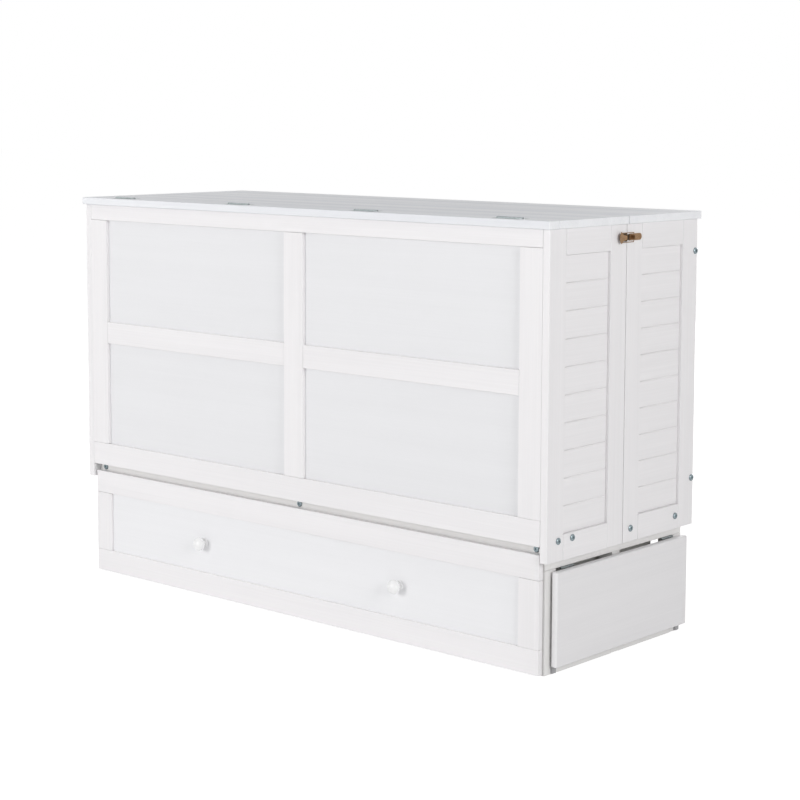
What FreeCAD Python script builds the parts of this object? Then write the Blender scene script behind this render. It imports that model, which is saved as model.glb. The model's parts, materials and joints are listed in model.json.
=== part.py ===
"""Wall bed that folds into a cabinet, with a drawer in its base and a flap shelf on each side.

The rear half of the cabinet stands on the base and is the headboard. The front half is a tray that
folds forward about two pins at the base's front corners, and a slatted foot section with legs
unfolds from it. Millimetres, +Z up, front towards -Y, origin on the floor at mid-width and at the
split between the two halves.
"""
import FreeCAD, Part
import os
import re
import Sketcher

SIZES = {
    # Cabinet
    "overall_width": 1612.9,
    "overall_depth": 614.7,
    "overall_height": 1046.5,
    "top_thickness": 19,
    "top_ease": 2,
    "split_gap": 3,
    "running_gap": 0.5,
    "overrun": 1,
    # Setback of the walls from the edges of the top
    "side_setback": 6.45,
    "front_setback": 9.35,
    "rear_setback": 7.35,
    # Planked side panels
    "side_thickness": 20,
    "side_drop": 37,
    "side_stile": 62,
    "side_rail": 60,
    "plank_count": 10,
    "plank_thickness": 10,
    "plank_recess": 7,
    "plank_bevel": 0.6,
    "plank_joint": 0.2,
    # Framed front panel
    "front_thickness": 20,
    "front_bottom": 305,
    "front_stile": 64,
    "centre_stile": 66,
    "front_top_rail": 42,
    "front_mid_rail": 59,
    "front_bottom_rail": 61,
    "infill_thickness": 6,
    "infill_recess": 9,
    # Framed back panel
    "back_thickness": 20,
    "back_stile": 70,
    "back_rail": 70,
    # Base
    "base_setback": 23,
    "base_side_thickness": 40,
    "post_depth": 40,
    "mid_post_depth": 30,
    "front_rail_thickness": 22,
    "front_rail_drop": 2,
    "back_rail_thickness": 22,
    "foot_rail_height": 60,
    "bearer_width": 40,
    "bearer_height": 60,
    "bearer_inset": 520.5,
    # Slatted platform in three sections
    "platform_depth": 70,
    "platform_step": 3,
    "slat_thickness": 15,
    "slat_width": 64,
    "slat_ease": 2,
    "slat_end_gap": 5,
    "base_slat_count": 6,
    "base_slat_lead": 2,
    "tray_slat_count": 7,
    "tray_slat_low": 365,
    "tray_bearer_low": 350,
    "foot_slat_count": 6,
    "foot_low": 400,
    "foot_end_gap": 10,
    "foot_rail_thickness": 22,
    "foot_rail_width": 45,
    "fold_gap": 4,
    "fold_drop": 27.5,
    "fold_end_gap": 4,
    # Pivot of the tray on the base
    "pivot_setback": 9,
    "pivot_drop": 8,
    "pivot_pin_radius": 4,
    "pivot_pin_length": 14,
    "pivot_plate_thickness": 3,
    "pivot_plate_length": 96,
    "pivot_plate_radius": 7,
    "pin_clearance": 0.05,
    # Hinges of the top and of the foot section
    "nosing_depth": 35,
    "hinge_rise": 0.5,
    "hinge_length": 76,
    "hinge_leaf_width": 22,
    "hinge_leaf_thickness": 1.5,
    "hinge_barrel_radius": 3,
    "hinge_pin_radius": 1.5,
    "hinge_seat_gap": 0.3,
    "knuckle_count": 5,
    "knuckle_gap": 0.4,
    "top_hinge_count": 4,
    "top_hinge_inset": 140.45,
    "fold_hinge_count": 3,
    "fold_hinge_inset": 160.5,
    # Legs of the foot section
    "leg_count": 3,
    "leg_side_inset": 160.5,
    "leg_width": 40,
    "leg_thickness": 30,
    "leg_inset": 90,
    "leg_floor_gap": 1.5,
    "leg_rail_width": 56,
    "leg_stretcher_width": 45,
    "leg_stretcher_thickness": 16,
    "leg_stretcher_drop": 190,
    "leg_pin_radius": 4,
    "leg_bracket_thickness": 3,
    "leg_bracket_radius": 14,
    # Drawer
    "drawer_side_gap": 5,
    "drawer_floor_gap": 3,
    "drawer_reveal": 20,
    "drawer_front_gap": 1.5,
    "drawer_front_thickness": 15,
    "drawer_rail": 60,
    "drawer_stile": 60,
    "drawer_panel_thickness": 6,
    "drawer_panel_recess": 6,
    "drawer_rear_gap": 31,
    "drawer_box_low": 32,
    "drawer_box_drop": 53,
    "drawer_board": 12,
    "drawer_bottom_rise": 8,
    "drawer_bottom_thickness": 6,
    "knob_inset": 430,
    "knob_drop": 143,
    "knob_radius": 17.5,
    "knob_crown": 12.5,
    "knob_reach": 32,
    "knob_neck_radius": 8,
    "knob_flange_radius": 12,
    "knob_flange_thickness": 3,
    # Drawer runners
    "runner_space": 12.7,
    "runner_rear_gap": 25,
    "runner_height": 45,
    "runner_wall": 1.5,
    "runner_depth": 9,
    "runner_gap": 0.3,
    "runner_low": 110,
    "runner_lead": 4,
    # Flap shelves
    "shelf_gap": 6,
    "shelf_thickness": 17,
    "shelf_low": 20,
    "shelf_clearance": 3.3,
    "shelf_top_gap": 3.4,
    "shelf_front_inset": 16,
    "shelf_rear_inset": 4,
    "shelf_ease": 4,
    "shelf_hinge_length": 50,
    "shelf_hinge_front_gap": 13,
    "shelf_hinge_rear_gap": 1,
    "shelf_leaf_thickness": 1.2,
    "shelf_leaf_height": 18,
    "shelf_barrel_radius": 2.4,
    "shelf_pin_radius": 1.2,
    "shelf_catch_inset": 7,
    "shelf_catch_length": 14,
    "shelf_catch_low": 3,
    "shelf_catch_height": 30,
    "shelf_catch_gap": 0.3,
    # Bolts
    "bolt_head_radius": 8,
    "bolt_head_height": 3.5,
    "bolt_head_bevel": 1.5,
    "bolt_socket_radius": 3,
    "bolt_socket_depth": 2,
    "bolt_shank_radius": 3.5,
    "bolt_shank_length": 18,
    "bolt_clearance": 0.25,
    "rail_bolt_inset": 25,
    "rail_bolt_drop": 8.5,
    "side_bolt_rise": 48,
    "side_bolt_front": 42,
    "side_bolt_rear": 96,
    "base_bolt_rise": 32,
    "base_bolt_front": 30,
    "base_bolt_rear": 78,
    "back_bolt_inset": 9,
    "back_bolt_rise": 118,
    "back_bolt_drop": 78.5,
    # Toggle latches
    "latch_drop": 31.5,
    "latch_plate_thickness": 1.5,
    "keeper_start": 8,
    "keeper_length": 42,
    "keeper_width": 16,
    "hook_place": 16.4,
    "hook_thickness": 2,
    "hook_reach": 10,
    "hook_lip": 1.5,
    "hook_tip": 1.5,
    "hook_width": 9,
    "latch_base_start": 2,
    "latch_base_length": 26,
    "latch_base_height": 19,
    "latch_ear_thickness": 1.5,
    "latch_ear_radius": 2.6,
    "latch_pivot_place": 14,
    "latch_pivot_rise": 7,
    "latch_pin_radius": 1.2,
    "latch_eye_length": 10,
    "latch_eye_radius": 2.6,
    "lever_neck": 4,
    "lever_width": 12,
    "lever_length": 14,
    "lever_thickness": 1.5,
    "lever_tab_length": 10,
    "lever_tab_rise": 1,
    "lever_crown": 8,
    "lever_flare_width": 28,
    "bail_place": 27,
    "bail_rise": 4.6,
    "bail_radius": 1.2,
    "bail_length": 47,
    "bail_half_width": 11,
}

PLACES = {
    "half_width": "overall_width / 2",
    "front_edge": "0 - overall_depth / 2",
    "rear_edge": "overall_depth / 2",
    "wall_top": "overall_height - top_thickness",
    "split_front": "0 - split_gap / 2",
    "split_rear": "split_gap / 2",
    "side_outer": "half_width - side_setback",
    "side_inner": "side_outer - side_thickness",
    "swing_outer": "side_outer + running_gap",
    "swing_inner": "side_inner + running_gap",
    "front_face": "front_edge + front_setback",
    "front_back": "front_face + front_thickness",
    "rear_face": "rear_edge - rear_setback",
    "back_inner": "rear_face - back_thickness",
    "side_bottom": "front_bottom - side_drop",
    "window_low": "front_bottom + front_bottom_rail",
    "window_high": "wall_top - front_top_rail",
    "mid_rail_low": "(window_low + window_high - front_mid_rail) / 2",
    "mid_rail_high": "mid_rail_low + front_mid_rail",
    "plank_pitch": "(wall_top - side_bottom - 2 * side_rail) / plank_count",
    # Pivot and platform
    "pivot_y": "front_face + pivot_setback",
    "pivot_z": "front_bottom - pivot_drop",
    "tray_platform": "front_face + platform_depth",
    "base_platform": "pivot_z + tray_platform - pivot_y - platform_step",
    "base_slat_low": "base_platform - slat_thickness",
    # Shelves, which flip up about pins beside the bottom of the side rails
    "shelf_inner": "side_inner + shelf_gap",
    "shelf_outer": "shelf_inner + shelf_thickness",
    "shelf_high": "side_bottom - shelf_clearance - shelf_thickness - (shelf_gap + shelf_top_gap) / 2",
    "shelf_axis_x": "side_inner + shelf_gap / 2",
    "shelf_axis_z": "shelf_high + shelf_top_gap / 2",
    # Base
    "post_height": "shelf_high + shelf_top_gap",
    "base_front": "front_face + base_setback",
    "base_inner": "side_inner - base_side_thickness",
    "front_rail_back": "base_front + front_rail_thickness",
    "front_rail_top": "front_bottom - front_rail_drop",
    "back_rail_front": "back_inner - back_rail_thickness",
    "base_slat_front": "tray_platform + base_slat_lead",
    "bearer_place": "swing_inner - bearer_inset",
    "shelf_front": "base_front + shelf_front_inset",
    "shelf_rear": "back_inner - shelf_rear_inset",
    # Foot section, folded against the tray
    "fold_height": "wall_top - fold_drop",
    "fold_y": "tray_platform + fold_gap / 2",
    "foot_platform": "tray_platform + fold_gap",
    "foot_slat_back": "foot_platform + slat_thickness",
    "foot_back": "foot_slat_back + foot_rail_thickness",
    "foot_high": "fold_height - fold_end_gap",
    "foot_length": "foot_high - foot_low",
    "foot_side": "swing_inner - foot_end_gap",
    "leg_y": "foot_back + running_gap + leg_thickness / 2",
    "leg_z": "foot_low + leg_inset",
    "leg_length": "pivot_z + 2 * fold_y - leg_y - pivot_y - leg_floor_gap",
    "leg_pitch": "2 * (foot_side - leg_side_inset) / (leg_count - 1)",
    "fold_hinge_pitch": "2 * (swing_inner - fold_hinge_inset) / (fold_hinge_count - 1)",
    # Top hinge line
    "top_hinge_pitch": "2 * (half_width - top_hinge_inset) / (top_hinge_count - 1)",
    "top_axis_y": "front_edge + nosing_depth + running_gap",
    "top_axis_z": "overall_height + hinge_rise",
    "leaf_reach": "hinge_barrel_radius + hinge_seat_gap",
    "leaf_end": "leaf_reach + hinge_leaf_width",
    # Drawer
    "drawer_half": "side_inner - drawer_side_gap",
    "drawer_top": "front_bottom - drawer_reveal",
    "drawer_back_face": "base_front - drawer_front_gap",
    "drawer_face": "drawer_back_face - drawer_front_thickness",
    "drawer_box_half": "base_inner - runner_space",
    "drawer_box_rear": "back_rail_front - drawer_rear_gap",
    "drawer_box_top": "drawer_top - drawer_box_drop",
    "drawer_bottom_low": "drawer_box_low + drawer_bottom_rise",
    "runner_high": "runner_low + runner_height",
    "runner_front": "base_front + runner_lead",
    "runner_length": "back_rail_front - runner_rear_gap - runner_front",
    "knob_place": "drawer_half - knob_inset",
    "knob_height": "drawer_top - knob_drop",
    # Bolts
    "side_bolt_height": "side_bottom + side_bolt_rise",
    "base_bolt_height": "side_bottom + base_bolt_rise",
    "back_bolt_low": "side_bottom + back_bolt_rise",
    "back_bolt_high": "wall_top - back_bolt_drop",
    # Latches
    "latch_height": "wall_top - latch_drop",
    "latch_pivot_x": "swing_outer + latch_pivot_rise",
    "latch_pivot_y": "0 - latch_pivot_place",
    "bail_x": "swing_outer + bail_rise",
    "bail_y": "0 - bail_place",
    "lever_start": "latch_pivot_y - lever_neck",
    "lever_bend": "lever_start - lever_length",
    "lever_end": "lever_bend - lever_tab_length",
    "lever_outer": "latch_pivot_x + lever_thickness",
    "flare_rise": "(lever_flare_width - lever_width) / 2",
    "flare_run": "lever_start - lever_end - lever_crown",
    "flare_radius": "(flare_run ^ 2 + flare_rise ^ 2) / (2 * flare_rise)",
    "crown_radius": "(lever_crown ^ 2 + (lever_flare_width / 2) ^ 2) / (2 * lever_crown)",
    "keeper_end": "keeper_start + keeper_length",
}

WORD = re.compile(r"[a-z]\w*")
AXES = ("x", "y", "z")
ALONG = {
    "x": FreeCAD.Rotation(FreeCAD.Vector(0, 1, 0), 90),
    "y": FreeCAD.Rotation(FreeCAD.Vector(1, 0, 0), -90),
    "z": FreeCAD.Rotation(),
}
OUTWARD = {
    "front": FreeCAD.Rotation(FreeCAD.Vector(0, 0, 1), 180),
    "right": FreeCAD.Rotation(FreeCAD.Vector(0, 0, 1), -90),
}

doc = FreeCAD.newDocument("wall_bed")
nodes = []


def fill_sheet(name, cells):
    """A sheet with one named cell on each row."""
    sheet = doc.addObject("Spreadsheet::Sheet", name)
    for row, (alias, content) in enumerate(cells.items(), start=1):
        sheet.set(f"A{row}", alias)
        sheet.set(f"B{row}", content)
        sheet.setAlias(f"B{row}", alias)
    return sheet


def bind(formula):
    """A formula written in plain names, with each name tied to the sheet that holds it."""
    return WORD.sub(
        lambda word: f"{'sizes' if word.group() in SIZES else 'places'}.{word.group()}", formula
    )


def in_places(formula):
    """The same inside the sheet of places, where its own names stand alone."""
    return WORD.sub(
        lambda word: f"sizes.{word.group()}" if word.group() in SIZES else word.group(), formula
    )


sizes = fill_sheet("sizes", {alias: str(value) for alias, value in SIZES.items()})
places = fill_sheet("places", {alias: f"={in_places(text)}" for alias, text in PLACES.items()})
doc.recompute()


def count(alias):
    """A number of pieces, from its cell."""
    return int(sizes.get(alias))


def place(piece, at, rotation=None):
    """Put a piece where three formulas say."""
    piece.Placement = FreeCAD.Placement(FreeCAD.Vector(), rotation or FreeCAD.Rotation())
    for axis, formula in zip(AXES, at):
        piece.setExpression(f".Placement.Base.{axis}", bind(formula))
    return piece


def board(name, x, y, z):
    """A plain board between a low and a high place on each axis."""
    piece = doc.addObject("Part::Box", name)
    for size, (low, high) in zip(("Length", "Width", "Height"), (x, y, z)):
        piece.setExpression(size, bind(f"({high}) - ({low})"))
    return place(piece, (x[0], y[0], z[0]))


def eased_board(name, x, y, z, ease):
    """A board with every edge rounded."""
    body = doc.addObject("PartDesign::Body", name)
    block = body.newObject("PartDesign::AdditiveBox", f"{name}_block")
    for size, (low, high) in zip(("Length", "Width", "Height"), (x, y, z)):
        block.setExpression(size, bind(f"({high}) - ({low})"))
    doc.recompute()
    rounding = body.newObject("PartDesign::Fillet", f"{name}_rounding")
    rounding.Base = (block, [""])
    rounding.UseAllEdges = True
    rounding.setExpression("Radius", bind(ease))
    return place(body, (x[0], y[0], z[0]))


def rod(name, axis, radius, at, length):
    """A round bar that starts at a place and runs along an axis."""
    piece = doc.addObject("Part::Cylinder", name)
    piece.setExpression("Radius", bind(radius))
    piece.setExpression("Height", bind(length))
    return place(piece, at, ALONG[axis])


def ball(name, radius, at):
    """A sphere about a place."""
    piece = doc.addObject("Part::Sphere", name)
    piece.setExpression("Radius", bind(radius))
    return place(piece, at)


def fused(name, pieces):
    """Several shapes as one solid."""
    whole = doc.addObject("Part::MultiFuse", name)
    whole.Shapes = pieces
    return whole


def group(name, pieces):
    """Separate solids kept together."""
    whole = doc.addObject("Part::Compound", name)
    whole.Links = pieces
    return whole


def cut(name, base, tools):
    """A shape less the tools."""
    piece = doc.addObject("Part::Cut", name)
    piece.Base = base
    piece.Tool = tools[0] if len(tools) == 1 else group(f"{name}_tools", tools)
    return piece


def shared(name, pieces):
    """The part that several shapes have in common."""
    whole = doc.addObject("Part::MultiCommon", name)
    whole.Shapes = pieces
    return whole


def mirrored(name, source):
    """The same piece on the left."""
    twin = doc.addObject("Part::Mirroring", name)
    twin.Source = source
    twin.Normal = FreeCAD.Vector(1, 0, 0)
    return twin


def outline(body, plane, name, points):
    """A closed sketch whose corners stand at pairs of formulas."""
    sketch = body.newObject("Sketcher::SketchObject", name)
    support = next(part for part in body.Origin.OriginFeatures if part.Role == plane)
    sketch.AttachmentSupport = (support, [""])
    sketch.MapMode = "FlatFace"
    total = len(points)
    turn = FreeCAD.Rotation(FreeCAD.Vector(0, 0, 1), 360 / total)
    corner = FreeCAD.Vector(1, 0, 0)
    for _ in points:
        after = turn.multVec(corner)
        sketch.addGeometry(Part.LineSegment(corner, after), False)
        corner = after
    for index in range(total):
        sketch.addConstraint(Sketcher.Constraint("Coincident", index, 2, (index + 1) % total, 1))
    for index, point in enumerate(points):
        start = sketch.Geometry[index].StartPoint
        for kind, near, formula in zip(("DistanceX", "DistanceY"), (start.x, start.y), point):
            made = sketch.addConstraint(Sketcher.Constraint(kind, -1, 1, index, 1, near))
            sketch.setExpression(f"Constraints[{made}]", bind(formula))
    return sketch


def extruded(name, plane, points, length, at, both_ways=False, backwards=False):
    """A body with one padded outline."""
    body = doc.addObject("PartDesign::Body", name)
    sketch = outline(body, plane, f"{name}_outline", points)
    pad = body.newObject("PartDesign::Pad", f"{name}_pad")
    pad.Profile = sketch
    pad.setExpression("Length", bind(length))
    pad.Midplane = both_ways
    pad.Reversed = backwards
    return place(body, at)


def repeated(body, direction, pitch, total):
    """A row of a body's padded outline along one axis of its sketch."""
    pad = body.Tip
    row = body.newObject("PartDesign::LinearPattern", f"{body.Name}_row")
    row.Originals = [pad]
    row.Direction = (pad.Profile[0], [direction])
    row.setExpression("Length", bind(f"({pitch}) * ({total} - 1)"))
    row.setExpression("Occurrences", bind(total))
    body.Tip = row
    return body


def turned(name, points, rotation, at):
    """A body turned about the upright axis of its outline."""
    body = doc.addObject("PartDesign::Body", name)
    sketch = outline(body, "XY_Plane", f"{name}_outline", points)
    lathe = body.newObject("PartDesign::Revolution", f"{name}_turn")
    lathe.Profile = sketch
    lathe.ReferenceAxis = (sketch, ["V_Axis"])
    lathe.Angle = 360
    return place(body, at, rotation)


def node(label, pieces):
    """One named sub-part of one or more solids."""
    whole = pieces[0] if len(pieces) == 1 else group(label, pieces)
    whole.Label = label
    nodes.append(whole)
    return whole


def pair(label, pieces):
    """A sub-part whose pieces are on the right and again on the left."""
    twins = [mirrored(f"{piece.Name}_twin", piece) for piece in pieces]
    return node(label, list(pieces) + twins)


def handed(label, pieces):
    """Two sub-parts, one for each side."""
    right = node(f"{label}_right", pieces)
    left = node(f"{label}_left", [mirrored(f"{label}_left", right)])
    return right, left


def bolt(name, facing, at):
    """A button-head bolt with a round socket, its head on the face and its shank in the wood."""
    rim = "bolt_head_height - bolt_head_bevel"
    floor = "bolt_head_height - bolt_socket_depth"
    points = [
        ("0", "0 - bolt_shank_length"),
        ("bolt_shank_radius", "0 - bolt_shank_length"),
        ("bolt_shank_radius", "0"),
        ("bolt_head_radius", "0"),
        ("bolt_head_radius", rim),
        ("bolt_head_radius - bolt_head_bevel", "bolt_head_height"),
        ("bolt_socket_radius", "bolt_head_height"),
        ("bolt_socket_radius", floor),
        ("0", floor),
    ]
    return turned(name, points, OUTWARD[facing], at)


def bolt_hole(name, axis, at):
    """A drilled hole for a bolt's shank, from the face at a place inwards."""
    radius = "bolt_shank_radius + bolt_clearance"
    x, y, z = at
    if axis == "x":
        start = (f"{x} - bolt_shank_length - overrun", y, z)
    else:
        start = (x, f"{y} - overrun", z)
    return rod(name, axis, radius, start, "bolt_shank_length + 2 * overrun")


def frame_boards(name, across, x, y, z, stile, rails):
    """Two full-height stiles and the two rails between them, across the y or x axis."""
    low, high = y if across == "y" else x
    bottom, top = rails
    spans = {
        "front_stile": ((low, f"{low} + {stile}"), z),
        "rear_stile": ((f"{high} - {stile}", high), z),
        "bottom_rail": ((f"{low} + {stile}", f"{high} - {stile}"), (z[0], f"{z[0]} + {bottom}")),
        "top_rail": ((f"{low} + {stile}", f"{high} - {stile}"), (f"{z[1]} - {top}", z[1])),
    }
    if across == "y":
        return [board(f"{name}_{key}", x, run, rise) for key, (run, rise) in spans.items()]
    return [board(f"{name}_{key}", run, y, rise) for key, (run, rise) in spans.items()]


def planks(name, outer, front, rear):
    """Horizontal planks with bevelled edges, set back from the face of a side frame."""
    face = f"{outer} - plank_recess"
    back = f"{face} - plank_thickness"
    high = "plank_pitch - plank_joint"
    points = [
        (back, "0"),
        (f"{face} - plank_bevel", "0"),
        (face, "plank_bevel"),
        (face, f"{high} - plank_bevel"),
        (f"{face} - plank_bevel", high),
        (back, high),
    ]
    at = ("0", front, "side_bottom + side_rail + plank_joint / 2")
    body = extruded(name, "XZ_Plane", points, f"({rear}) - ({front})", at, backwards=True)
    return repeated(body, "V_Axis", "plank_pitch", "plank_count")


def slats(name, half_length, thickness_axis, at, pitch, total):
    """Slats across the bed with eased edges, in a row along the platform."""
    flat = ("slat_width", "slat_thickness")
    wide, high = flat if thickness_axis == "z" else flat[::-1]
    points = [
        ("slat_ease", "0"),
        (f"{wide} - slat_ease", "0"),
        (wide, "slat_ease"),
        (wide, f"{high} - slat_ease"),
        (f"{wide} - slat_ease", high),
        ("slat_ease", high),
        ("0", f"{high} - slat_ease"),
        ("0", "slat_ease"),
    ]
    body = extruded(name, "YZ_Plane", points, f"2 * ({half_length})", at, both_ways=True)
    return repeated(body, "H_Axis" if thickness_axis == "z" else "V_Axis", pitch, total)


def hinge_leaf(name, axis, start, length, centre, cross, tab, barrel, pin, first):
    """A leaf fused to every second knuckle of a hinge, bored for the pin."""

    def span(run, across):
        return (run, *across) if axis == "x" else (across[0], run, across[1])

    def point(run):
        return (run, *centre) if axis == "x" else (centre[0], run, centre[1])

    pieces = [board(f"{name}_plate", *span((start, f"{start} + {length}"), cross))]
    for index in range(first, count("knuckle_count"), 2):
        low = f"{start} + {length} * {index} / knuckle_count + knuckle_gap / 2"
        high = f"{start} + {length} * {index + 1} / knuckle_count - knuckle_gap / 2"
        pieces.append(board(f"{name}_tab_{index}", *span((low, high), tab)))
        pieces.append(
            rod(f"{name}_knuckle_{index}", axis, barrel, point(low), f"({high}) - ({low})")
        )
    whole = fused(f"{name}_solid", pieces)
    bore = rod(
        f"{name}_bore", axis, f"{pin} + pin_clearance", point(f"{start} - overrun"),
        f"{length} + 2 * overrun",
    )
    return cut(name, whole, [bore])


def spread(index, total, pitch):
    """Where one of a row of pieces stands, with the row centred on the bed."""
    return f"({index} - ({total} - 1) / 2) * {pitch}"


def make_base():
    """Posts, rails and slats that stand on the floor under the rear half."""
    side_x = ("base_inner", "side_inner")
    mid = (
        "(base_front + back_inner - mid_post_depth) / 2",
        "(base_front + back_inner + mid_post_depth) / 2",
    )
    post_runs = {
        "front": ("base_front", "base_front + post_depth"),
        "mid": mid,
        "rear": ("back_inner - post_depth", "back_inner"),
    }
    pair(
        "base_posts",
        [board(f"post_{key}", side_x, run, ("0", "post_height")) for key, run in post_runs.items()],
    )
    rise = ("0", "foot_rail_height")
    pair(
        "base_foot_rails",
        [
            board("foot_rail_front", side_x, (post_runs["front"][1], mid[0]), rise),
            board("foot_rail_rear", side_x, (mid[1], post_runs["rear"][0]), rise),
        ],
    )
    rail = board(
        "side_rail_blank", side_x, ("front_rail_back", "back_inner"), ("post_height", "base_slat_low")
    )
    pair("base_side_rails", [cut("side_rail_seated", rail, [plate_seat("side_rail_seat")])])
    make_front_rail()
    back_x = ("0 - base_inner", "base_inner")
    back_y = ("back_rail_front", "back_inner")
    node(
        "base_back_rails",
        [
            board("back_rail_high", back_x, back_y, ("post_height", "base_slat_low")),
            board("back_rail_low", back_x, back_y, rise),
        ],
    )
    node(
        "base_centre_bearer",
        [
            board(
                "centre_bearer",
                ("0 - bearer_width / 2", "bearer_width / 2"),
                ("front_rail_back", "back_rail_front"),
                ("base_slat_low - bearer_height", "base_slat_low"),
            )
        ],
    )
    pitch = "(back_inner - slat_end_gap - base_slat_front - slat_width) / (base_slat_count - 1)"
    node(
        "base_slats",
        [
            slats(
                "base_slat", "side_inner - slat_end_gap", "z",
                ("0", "base_slat_front", "base_slat_low"), pitch, "base_slat_count",
            )
        ],
    )


def plate_seat(name):
    """The recess that takes a pivot plate flush into the base's side."""
    return board(
        name,
        ("side_inner - pivot_plate_thickness", "side_inner + overrun"),
        ("base_front - overrun", "pivot_y + pivot_plate_length"),
        ("pivot_z - pivot_plate_radius", "pivot_z + pivot_plate_radius"),
    )


def make_front_rail():
    """Front rail over the drawer, with its bolts and the two pivot plates let into its ends."""
    blank = board(
        "front_rail_blank",
        ("0 - side_inner", "side_inner"),
        ("base_front", "front_rail_back"),
        ("post_height", "front_rail_top"),
    )
    end_bolt = ("side_inner - rail_bolt_inset", "base_front", "front_rail_top - rail_bolt_drop")
    mid_bolt = ("0", "base_front", "front_rail_top - rail_bolt_drop")
    seat = plate_seat("front_rail_seat")
    end_hole = bolt_hole("end_bolt_hole", "y", end_bolt)
    tools = [
        seat,
        mirrored("front_rail_seat_left", seat),
        end_hole,
        mirrored("end_bolt_hole_left", end_hole),
        bolt_hole("mid_bolt_hole", "y", mid_bolt),
    ]
    node("base_front_rail", [cut("front_rail_cut", blank, tools)])
    bolts = [bolt("end_bolt", "front", end_bolt), bolt("mid_bolt", "front", mid_bolt)]
    node("front_rail_bolts", bolts + [mirrored("end_bolt_left", bolts[0])])
    plate_x = ("side_inner - pivot_plate_thickness", "side_inner")
    plate = board(
        "pivot_plate_bar",
        plate_x,
        ("pivot_y", "pivot_y + pivot_plate_length"),
        ("pivot_z - pivot_plate_radius", "pivot_z + pivot_plate_radius"),
    )
    nose = rod(
        "pivot_plate_nose", "x", "pivot_plate_radius", (plate_x[0], "pivot_y", "pivot_z"),
        "pivot_plate_thickness",
    )
    pin = rod(
        "pivot_plate_pin", "x", "pivot_pin_radius", (plate_x[0], "pivot_y", "pivot_z"),
        "pivot_plate_thickness + running_gap + pivot_pin_length",
    )
    pair("pivot_plates", [fused("pivot_plate", [plate, nose, pin])])


def make_rear_half():
    """Headboard: the fixed rear sides, back and top."""
    side_x = ("side_inner", "side_outer")
    side_y = ("split_rear", "rear_face")
    side_z = ("side_bottom", "wall_top")
    boards = frame_boards("rear_side", "y", side_x, side_y, side_z, "side_stile", ["side_rail"] * 2)
    bolt_places = {
        "base_front": ("side_outer", "split_rear + base_bolt_front", "base_bolt_height"),
        "base_rear": ("side_outer", "rear_face - base_bolt_rear", "base_bolt_height"),
        "back_low": ("side_outer", "rear_face - back_bolt_inset", "back_bolt_low"),
        "back_high": ("side_outer", "rear_face - back_bolt_inset", "back_bolt_high"),
    }
    holes = [bolt_hole(f"{key}_hole", "x", at) for key, at in bolt_places.items()]
    handed("rear_side_frame", [cut("rear_side_drilled", group("rear_side", boards), holes)])
    bolts = [bolt(f"{key}_bolt", "right", at) for key, at in bolt_places.items()]
    pair("rear_side_bolts", bolts)
    inner = ("split_rear + side_stile", "rear_face - side_stile")
    handed("rear_side_planks", [planks("rear_side_plank", "side_outer", *inner)])
    make_back()
    node(
        "rear_top",
        [
            eased_board(
                "rear_top_board",
                ("0 - half_width", "half_width"),
                ("split_rear", "rear_edge"),
                ("wall_top", "overall_height"),
                "top_ease",
            )
        ],
    )


def make_back():
    """Back of the headboard: a frame with a centre stile and two thin panels."""
    back_x = ("0 - side_inner", "side_inner")
    back_y = ("back_inner", "rear_face")
    back_z = ("front_bottom", "wall_top")
    rails = ["back_rail", "back_rail"]
    boards = frame_boards("back", "x", back_x, back_y, back_z, "back_stile", rails)
    window_z = ("front_bottom + back_rail", "wall_top - back_rail")
    half_stile = "back_stile / 2"
    boards.append(board("back_centre_stile", (f"0 - {half_stile}", half_stile), back_y, window_z))
    node("back_frame", boards)
    panel_y = ("back_inner + infill_recess - infill_thickness / 2",
               "back_inner + infill_recess + infill_thickness / 2")
    pair("back_panels", [board("back_panel", (half_stile, "side_inner - back_stile"), panel_y, window_z)])


def make_front():
    """Framed front panel of the tray."""
    front_y = ("front_face", "front_back")
    full_x = ("0 - swing_inner", "swing_inner")
    node(
        "front_rails",
        [
            board("front_rail_high", full_x, front_y, ("window_high", "wall_top")),
            board("front_rail_low", full_x, front_y, ("front_bottom", "window_low")),
        ],
    )
    window_z = ("window_low", "window_high")
    half_stile = "centre_stile / 2"
    end_x = ("swing_inner - front_stile", "swing_inner")
    end_stile = board("front_stile_right", end_x, front_y, window_z)
    centre = board("front_stile_centre", (f"0 - {half_stile}", half_stile), front_y, window_z)
    node("front_stiles", [end_stile, mirrored("front_stile_left", end_stile), centre])
    window_x = (half_stile, "swing_inner - front_stile")
    pair(
        "front_mid_rails",
        [board("front_mid_rail_right", window_x, front_y, ("mid_rail_low", "mid_rail_high"))],
    )
    panel_y = ("front_face + infill_recess", "front_face + infill_recess + infill_thickness")
    pair(
        "front_panels",
        [
            board("front_panel_low", window_x, panel_y, ("window_low", "mid_rail_low")),
            board("front_panel_high", window_x, panel_y, ("mid_rail_high", "window_high")),
        ],
    )


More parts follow.
